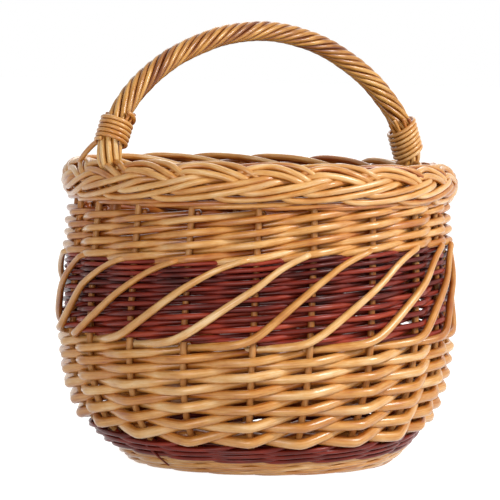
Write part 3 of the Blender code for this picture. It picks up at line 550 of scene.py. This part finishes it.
# The border is a plait of four strands round an oval core. Each stake's own rod runs along the inside,
# over the top and down the outside three times: point = middle + radial (setOut + wide cos angle) + up
# (high sin angle), with angle 90 at the top. depth under 1 is where it passes beneath another strand.
# Those two tables count stakes along the rod. sag lowers the border by shares of the way round.
border = {"points": 196, "from": -1.66, "to": 11.5, "lead": 1.34, "thickStart": 0.0060, "thickEnd": 0.0068,
          "halfWide": 0.0185, "halfHigh": 0.0215, "setOut": 0.0020, "unevenAngle": 0.035, "unevenThick": 0.06,
          "angle": {-1.66: 263, -0.8: 240, 0.3: 205, 1.3: 162, 1.9: 130, 2.35: 108, 2.75: 88, 3.0: 66,
                    3.31: 22, 3.75: -16, 4.05: -28, 4.3: -24, 4.62: -13, 5.09: 5, 5.44: 22, 5.8: 38,
                    6.14: 50, 6.42: 70, 6.62: 66, 6.85: 42, 7.15: 16, 7.42: -16, 7.7: -46, 8.0: -56,
                    8.5: -43, 9.06: -19, 9.58: 10, 9.9: 24, 10.22: 36, 10.48: 36, 10.75: 26, 11.0: 9,
                    11.3: -12, 11.5: -20},
          "depth": {3.2: 1, 3.45: 0.5, 3.85: 0.5, 4.15: 1, 5.38: 1, 5.65: 0.52, 5.9: 0.52, 6.15: 1, 7.08: 1,
                    7.3: 0.5, 7.5: 0.5, 7.75: 1, 9.52: 1, 9.75: 0.55, 10.0: 0.55, 10.25: 1, 10.95: 1,
                    11.2: 0.6, 11.5: 0.45},
          "sag": {-0.08: 0.0055, 0.11: 0.0036, 0.25: 0.0034, 0.40: 0.0040, 0.53: 0.0016, 0.65: 0,
                  0.78: 0.0024, 0.92: 0.0055, 1.11: 0.0036},
          "angleSoft": 0.42, "depthSoft": 0.22, "sagSoft": 0.08, "deepShade": 0.8}
tau = np.linspace(border["from"], border["to"], border["points"])[None, :] * np.ones((stakeCount, 1))
sway = rng.uniform(-1, 1, (stakeCount, 4))
angle = np.radians(softKeys(tau, border["angle"], border["angleSoft"]))
angle = angle + border["unevenAngle"] * (sway[:, :1] + sway[:, 1:2] * np.sin(tau * 1.7 + 5 * sway[:, 2:3]))
depth = softKeys(tau, border["depth"], border["depthSoft"])
turn = turnAt(np.arange(stakeCount)[:, None] + tau - border["lead"])
middle = wallFrame(turn, wall["rim"])[0]
radial = unit(np.stack((middle[..., 0] / wall["long"], middle[..., 1] / wall["wide"], 0 * turn), axis=-1))
thick = between(border["thickStart"], border["thickEnd"],
                (tau - border["from"]) / (border["to"] - border["from"]))
thick = thick * (1 + border["unevenThick"] * sway[:, 3:])
wide = (border["halfWide"] - thick / 2) * depth
high = (border["halfHigh"] - thick / 2) * depth
up = np.array((0.0, 0.0, 1.0))
path = (middle + radial * (border["setOut"] + wide * np.cos(angle))[..., None]
        + up * (high * np.sin(angle))[..., None])
path[..., 2] -= softKeys(np.mod(turn, 1), border["sag"], border["sagSoft"])
out = radial * np.cos(angle)[..., None] + up * np.sin(angle)[..., None]
# painted shade where a strand passes beneath another, and painted crevice shade on its flanks
rodPiece("plaitedBorderRods", path, out, thick / 2, "varnishedBuffWillow", ["plaited_border"],
         sides=12, toneSpread=0.4, toneMiddle=0.62, creviceShade=1.1, shade=border["deepShade"] * (1 - depth))
print("border plaited")


# The bow: on each side a cubic Bezier curve on four points: the foot, setIn inside the wall; the knee, a
# share of the rise above it and further in by lean; one at full height, the share called crown of the half
# span out; and the crown's middle. Below the foot the tip goes down inside the wall, tipIn off its middle.
bow = {"footRise": 0.0165, "archRise": 0.1289, "forward": 0.0100, "apexBack": 0.0032, "points": 60,
       "tipDepth": 0.1235, "tipTop": 0.022, "tipPoints": 12, "tipIn": 0.0055, "tipWide": 0.004,
       "tipThick": 0.0060, "thick": 0.0110, "taper": 0.094,
       "left": {"setIn": 0.0035, "lean": -0.0034, "knee": 0.520, "crown": 0.4444},
       "right": {"setIn": 0.0087, "lean": 0.0010, "knee": 0.4515, "crown": 0.5627}}
bowFoot, bowApex = wall["rim"] + bow["footRise"], wall["rim"] + bow["footRise"] + bow["archRise"]
bowTip = wall["rim"] - bow["tipDepth"]


def bowHalf(side, look):
    span = wall["long"] - look["setIn"]
    t = np.linspace(0, 1, bow["points"])
    foot, knee, shoulder, middle = (1 - t) ** 3, 3 * (1 - t) ** 2 * t, 3 * (1 - t) * t ** 2, t ** 3
    x = foot * span + knee * (span - look["lean"]) + shoulder * span * look["crown"]
    z = foot * bowFoot + knee * (bowFoot + bow["archRise"] * look["knee"]) + (shoulder + middle) * bowApex
    y = between(-bow["forward"], bow["apexBack"], ease((z - bowFoot) / bow["archRise"]))
    zTip = np.linspace(bowTip, wall["rim"] - bow["tipTop"], bow["tipPoints"])
    inWall, off = wallFrame(0.0, zTip)
    # the oval is shorter off its axis
    nearer = np.sqrt(1 - (bow["forward"] / (wall["wide"] - bow["tipWide"])) ** 2)
    xTip = (inWall - off * bow["tipIn"])[:, 0] * nearer
    tip = np.stack((xTip, 0 * xTip - bow["forward"], zTip), -1)
    return np.concatenate((tip, np.stack((x, y, z), -1))) * (side, 1, 1)


bowPath = np.concatenate((bowHalf(-1, bow["left"]), bowHalf(1, bow["right"])[-2::-1]))
bowLength = np.concatenate(((0.0,), np.cumsum(np.linalg.norm(np.diff(bowPath, axis=0), axis=1))))
bowTop = bow["tipPoints"] + bow["points"] - 1
# each leg's points, from its tip to the crown
legs = {-1: slice(0, bowTop + 1), 1: slice(None, bowTop - 1, -1)}


# the bow's line at lengths along it, and two ways square to it: to the inside of the arch and to the back
def alongBow(length, step=0.004):
    spot, before, after = [
        np.stack([np.interp(length + move, bowLength, bowPath[:, axis]) for axis in range(3)], -1)
        for move in (0, -step, step)]
    ahead = unit(after - before)
    inner = unit(np.cross((0.0, 1.0, 0.0), ahead))
    return spot, inner, np.cross(ahead, inner)


line, inner, rear = alongBow(np.linspace(0, bowLength[-1], 150)[None, :])
bowThick = between(bow["tipThick"], bow["thick"], ease((line[..., 2] - bowTip) / bow["taper"]))
rodPiece("handleBow", line, inner, bowThick / 2, "varnishedStakeWillow",
         ["handle_bow"], sides=14)

# Roping: thin rods wound side by side round the bow, one turn in 113 mm over the crown, and running
# straight down past reach, where the bundle is stouter. A strand's turns are its own share less
# length / (pitch (1 + (length / reach)^8)^(1/8)), with length counted from the crown.
roping = {"count": 9, "points": 220, "thick": 0.0052, "footThick": 0.0060, "pitch": 0.113, "reach": 0.225,
          "endHeight": 0.2830, "crown": 0.0202, "shoulder": 0.0220, "foot": 0.0250,
          "shoulderShare": 0.403, "footShare": 0.062, "neck": 0.32, "neckTop": 0.004, "neckHeight": 0.016,
          "unevenTurn": 0.010, "unevenThick": 0.07, "unevenRadius": 0.0004, "crownShade": 0.10,
          "footPale": 0.24}


# The bundle's radius: half its thickness, which goes from crown to shoulder to foot in two eased steps and
# loses the share called neck where it enters the border
def ropingRadius(height):
    shoulder = bowFoot + bow["archRise"] * roping["shoulderShare"]
    foot = bowFoot + bow["archRise"] * roping["footShare"]
    upper = between(roping["crown"], roping["shoulder"], ease((bowApex - height) / (bowApex - shoulder)))
    full = between(upper, roping["foot"], ease((shoulder - height) / (shoulder - foot)))
    neck = ease((bowFoot + roping["neckTop"] - height) / roping["neckHeight"])
    return full / 2 * (1 - roping["neck"] * neck)


ends = [np.interp(roping["endHeight"], bowPath[legs[side], 2], bowLength[legs[side]]) for side in (-1, 1)]
length = np.linspace(ends[0], ends[1], roping["points"])[None, :] * np.ones((roping["count"], 1))
line, inner, rear = alongBow(length)
fromCrown = length - bowLength[bowTop]
wound = -fromCrown / (1 + (np.abs(fromCrown) / roping["reach"]) ** 8) ** (1 / 8)
sway = rng.uniform(-1, 1, (roping["count"], 4))
turns = np.arange(roping["count"])[:, None] / roping["count"] + wound / roping["pitch"]
turns = turns + roping["unevenTurn"] * np.sin(fromCrown * 60 + 6 * sway[:, :1]) * sway[:, 1:2]
down = ease((bowApex - line[..., 2]) / bow["archRise"])
thick = between(roping["thick"], roping["footThick"], down) * (1 + roping["unevenThick"] * sway[:, 2:3])
uneven = roping["unevenRadius"] * sway[:, 3:4] * np.sin(fromCrown * 40 + 4 * sway[:, 1:2])
radius = ropingRadius(line[..., 2]) - thick / 2 + uneven
around = inner * np.cos(2 * np.pi * turns)[..., None] + rear * np.sin(2 * np.pi * turns)[..., None]
# painted shade darkens the crown, which the lamps light most, and the feet are lighter
crownShadeAndPaleFeet = roping["crownShade"] * ease(1 - 2.5 * down) - roping["footPale"] * ease(down * 4 - 3)
rodPiece("handleRopingRods", line + around * radius[..., None], around, thick / 2, "handRubbedWillow",
         ["handle_roping"], sides=12, toneSpread=0.26, toneMiddle=0.40, creviceShade=1.5,
         shade=crownShadeAndPaleFeet)


# a leg's stretch between two heights over the rim: its lower point and the ways up, across and to its front
def legFrame(side, rises):
    foot, head = [np.array([np.interp(wall["rim"] + rise, bowPath[legs[side], 2], bowPath[legs[side], axis])
                            for axis in range(3)]) for rise in rises]
    climb = unit(head - foot)
    across = unit(np.cross(climb, (0.0, 1.0, 0.0)))
    return foot, climb, across, np.cross(climb, across)


# Bindings: one thin rod wound tightly round each leg, a helix of angle 2 pi share and climb pitch share.
# Its last stretch works loose, climbs by tail and ends cut off. cutEnds are the rods' ends that stand up
# from under the top turn and bend out with the square of their length: where they stand, as a share of a
# turn round the leg, and how far above the top turn they reach.
bindings = {"thick": 0.0041, "radius": 0.0146, "start": -0.04, "points": 32, "looseOut": 0.0012,
            "cutThick": 0.0036, "cutRadius": 0.0118, "cutBelow": 0.008, "cutAbove": 0.004, "cutSpread": 9,
            "Left": {"side": -1, "rise": 0.0335, "pitch": 0.0045, "turns": 5.4, "tilt": 0.0, "tail": 0.005,
                     "loose": 0.36, "cutEnds": {-0.16: 0.004, 0.34: 0.009, 0.27: 0.005}},
            "Right": {"side": 1, "rise": 0.0225, "pitch": 0.0047, "turns": 6.6, "tilt": -0.0042,
                      "tail": 0.001, "loose": 0.08,
                      "cutEnds": {0.02: 0.006, 0.11: 0.010, 0.21: 0.007, 0.30: 0.004}}}
for label in ("Left", "Right"):
    look = bindings[label]
    foot, climb, across, front = legFrame(
        look["side"], (look["rise"], look["rise"] + look["pitch"] * look["turns"]))
    share = np.linspace(bindings["start"], look["turns"] + look["loose"],
                        int(look["turns"] * bindings["points"]))
    loose = ease((share - look["turns"]) / look["loose"])
    angle = look["side"] * 2 * np.pi * share
    around = across * np.cos(angle)[:, None] + front * np.sin(angle)[:, None]
    along = look["pitch"] * share + look["tilt"] * np.cos(angle) + look["tail"] * loose
    path = (foot + climb * along[:, None]
            + around * (bindings["radius"] + bindings["looseOut"] * loose)[:, None])
    rodPiece(f"handleBinding{label}", path[None], around[None], bindings["thick"] / 2, "varnishedBuffWillow",
             [f"handle_binding_{label.lower()}"], sides=12, toneMiddle=0.55)
for label in ("Left", "Right"):
    look = bindings[label]
    topTurn = look["rise"] + look["pitch"] * look["turns"]
    cutRises = (topTurn - bindings["cutBelow"], topTurn + bindings["cutAbove"])
    foot, climb, across, front = legFrame(look["side"], cutRises)
    turns = 2 * np.pi * np.array(list(look["cutEnds"]))[:, None]
    above = np.array(list(look["cutEnds"].values()))[:, None]
    reach = np.linspace(0, 1, 10) * (bindings["cutBelow"] + above)
    around = across * np.cos(turns)[..., None] + front * np.sin(turns)[..., None] + 0 * reach[..., None]
    outward = bindings["cutRadius"] + bindings["cutSpread"] * reach ** 2
    path = foot + climb * reach[..., None] + around * outward[..., None]
    rodPiece(f"bindingCutEnds{label}", path, around, bindings["cutThick"] / 2, "varnishedBuffWillow",
             None, sides=10, toneMiddle=0.45)

# One strand stands away from the left foot: out from under the binding, back and down onto the border
strayRod = {"thick": 0.0052, "points": 24, "soft": 0.3,
            "x": {0: -0.1880, 1 / 3: -0.1900, 2 / 3: -0.1905, 1: -0.1880},
            "y": {0: 0.0010, 1 / 3: 0.0130, 2 / 3: 0.0270, 1: 0.0420},
            "z": {0: 0.3220, 1 / 3: 0.3160, 2 / 3: 0.3070, 1: 0.2970}}
t = np.linspace(0, 1, strayRod["points"])
path = np.stack([softKeys(t, strayRod[axis], strayRod["soft"]) for axis in "xyz"], axis=-1)[None]
rodPiece("handleStrayRod", path, np.broadcast_to(up, path.shape), strayRod["thick"] / 2,
         "varnishedBuffWillow", None, sides=12, toneMiddle=0.7)
print("handle roped and bound")

# Base: four sticks threaded through four slit ones, fanned out to the edge between the stakes. A stick's half
# is a curve on three points: the edge of the cross, a short lead straight on, and its gap between two stakes.
# near and far are the first gaps that a set of four runs to, at its two ends.
base = {"threaded": 0.0050, "slit": 0.0090, "gap": 0.0004, "margin": 0.0017, "endShare": 0.955,
        "leadShare": 1.1, "turnShare": 0.04, "firstGap": 18, "points": 14, "fit": 0.98, "rod": 0.0030,
        "rounds": 24, "weaveStart": 1.03, "weaveEdge": -0.003, "wavePress": 0.55, "steps": 6}
slathHalf = 4 * (base["slit"] + base["gap"]) / 2 + base["margin"]
gapTurns = (turnAt(base["firstGap"] + np.arange(stakeCount) + 0.5)
            - wall["lean"] * (1 - wall["seat"] / wall["rim"]))
spokes = []
for label, thick, quarter, near, far in (("Threaded", base["threaded"], 0.0, 0, 10),
                                         ("Slit", base["slit"], 0.25, 5, 15)):
    heading = 2 * np.pi * (base["turnShare"] + quarter)
    forward = np.array((np.cos(heading), np.sin(heading), 0.0))
    aside = np.array((-forward[1], forward[0], 0.0))
    for index in range(4):
        offset = (index - 1.5) * (thick + base["gap"])
        halves = []
        for sign, gap in ((1, near + index), (-1, far + 3 - index)):
            start = baseMiddle + forward * sign * slathHalf + aside * offset
            lead = start + forward * sign * slathHalf * (base["leadShare"] - 1)
            end = between(baseMiddle, basePoint(gapTurns[gap], 0), base["endShare"])
            t = np.linspace(0, 1, base["points"])[:, None]
            halves.append(start * (1 - t) ** 2 + lead * 2 * t * (1 - t) + end * t * t)
            spokes.append((gapTurns[gap] % 1, thick))
        path = np.concatenate((halves[1][::-1], halves[0]))[None] + (0, 0, wall["seat"])
        rodPiece(f"baseStick{label}{index + 1}", path, np.broadcast_to(up, path.shape),
                 thick / 2 * base["fit"], "plainBaseWillow",
                 [f"base_stick_{label.lower()}_{index + 1}"], sides=12)

# Pairing: two thin rods spiral out together, over and under the sixteen stick ends in turn. number counts
# the ends passed, and the way out is number's share of them all. height = seat + (press stick + rod) / 2
# times cos(pi number), where press goes from wavePress to 1 on the way out.
spokes.sort()
spokeCount = len(spokes)
manySpokes = np.concatenate([np.array([turn for turn, _ in spokes]) + lap
                             for lap in range(-1, base["rounds"] + 3)])
manyThicks = np.array([thick for _, thick in spokes] * (base["rounds"] + 4))
spokeIndexes = np.arange(len(manySpokes)) - spokeCount
passes = spokeCount * base["rounds"]
number = np.linspace(0, passes, passes * base["steps"])[None, :] + np.zeros((2, 1))
turn = np.interp(number, spokeIndexes, manySpokes)
nearThick = np.interp(number, spokeIndexes, manyThicks)
share = number / passes
wave = np.cos(np.pi * number + np.array([[0.0], [np.pi]]))
circle = np.stack((np.cos(2 * np.pi * turn), np.sin(2 * np.pi * turn), 0 * turn), -1)
inner = baseMiddle + slathHalf * base["weaveStart"] * circle
path = between(inner, basePoint(turn, base["weaveEdge"]), share[..., None])
path[..., 2] = wall["seat"] + wave * (nearThick / 2 * between(base["wavePress"], 1, share) + base["rod"] / 2)
rodPiece("baseWeaveRods", path, np.broadcast_to(up, path.shape), base["rod"] / 2, "plainBaseWillow",
         ["base_weave"], sides=6, toneSpread=0.4)
print("base woven")

# Floor, lamps and camera
stage = {"world": 0.285, "floorGlow": 0.93, "floorColour": "#dadada", "floorRough": 0.9, "floorSize": 60.0,
         "white": "#ffffff", "lampAim": 0.2}


# 1 for rays from the camera, from a gloss or through glass, which all see the white backdrop, else 0
def backdropRays(tree):
    rays = addNode(tree, "ShaderNodeLightPath").outputs
    direct = addNode(tree, "ShaderNodeMath", {"operation": "MAXIMUM"},
                     {0: rays["Is Camera Ray"], 1: rays["Is Glossy Ray"]})
    return addNode(tree, "ShaderNodeMath", {"operation": "MAXIMUM"},
                   {0: direct.outputs[0], 1: rays["Is Transmission Ray"]}).outputs[0]


reach = stage["floorSize"]
floorMesh = bpy.data.meshes.new("floor")
floorMesh.from_pydata([(-reach, -reach, 0), (reach, -reach, 0), (reach, reach, 0), (-reach, reach, 0)],
                      [], [(0, 1, 2, 3)])
floor = bpy.data.objects.new("floor", floorMesh)
scene.collection.objects.link(floor)
paper = bpy.data.materials.new("whitePaperSweep")  # matt white paper that glows where it is seen directly
paper.use_nodes = True
tree = paper.node_tree
shader = tree.nodes["Principled BSDF"]
shader.inputs["Base Color"].default_value = linear(stage["floorColour"])
shader.inputs["Roughness"].default_value = stage["floorRough"]
shader.inputs["Specular IOR Level"].default_value = 0.0
seen = addNode(tree, "ShaderNodeMath", {"operation": "MULTIPLY", 1: stage["floorGlow"]},
               {0: backdropRays(tree)})
glow = addNode(tree, "ShaderNodeEmission", {"Color": linear(stage["white"])}, {"Strength": seen.outputs[0]})
both = addNode(tree, "ShaderNodeAddShader", {}, {0: shader.outputs[0], 1: glow.outputs[0]})
tree.links.new(both.outputs[0], tree.nodes["Material Output"].inputs["Surface"])
floorMesh.materials.append(paper)

world = bpy.data.worlds.new("studio")
scene.world = world
world.use_nodes = True
tree = world.node_tree
strength = addNode(tree, "ShaderNodeMapRange", {"To Min": stage["world"], "To Max": 1.0},
                   {"Value": backdropRays(tree)})
tree.links.new(strength.outputs[0], tree.nodes["Background"].inputs["Strength"])
tree.nodes["Background"].inputs["Color"].default_value = linear(stage["white"])

lamps = {"key": {"place": (0.9, -1.9, 1.5), "size": 0.7, "power": 50.5},
         "fill": {"place": (-2.2, -1.6, 0.5), "size": 1.2, "power": 26},
         "back": {"place": (1.6, 2.0, 2.0), "size": 1.6, "power": 18}}
for name, look in lamps.items():
    lamp = bpy.data.lights.new(name, "AREA")
    lamp.size, lamp.energy = look["size"], look["power"]
    holder = bpy.data.objects.new(name, lamp)
    holder.location = look["place"]
    sight = Vector((0, 0, stage["lampAim"])) - holder.location
    holder.rotation_euler = sight.to_track_quat("-Z", "Y").to_euler()
    scene.collection.objects.link(holder)

# The camera stands 2.9 m off, 36 degrees round to the left, with its lens at handle height, a little rolled.
# Its frame spans half a metre at the basket's middle.
view = {"distance": 2.9, "around": 36, "height": 0.3998, "aim": 0.2098, "aside": 0.0089, "roll": 1.2,
        "span": 0.5, "sensor": 36}
turned = np.radians(view["around"])
camera = bpy.data.objects.new("camera", bpy.data.cameras.new("camera"))
camera.data.lens = view["distance"] / view["span"] * view["sensor"]
camera.data.clip_end = 50
camera.location = (-np.sin(turned) * view["distance"], -np.cos(turned) * view["distance"], view["height"])
target = Vector((-np.cos(turned) * view["aside"], np.sin(turned) * view["aside"], view["aim"]))
sight = target - camera.location
level = sight.to_track_quat("-Z", "Y").to_matrix()
camera.rotation_euler = (level @ Matrix.Rotation(np.radians(view["roll"]), 3, "Z")).to_euler()
scene.collection.objects.link(camera)
scene.camera = camera
scene.view_settings.view_transform = "Standard"
print("stage set")
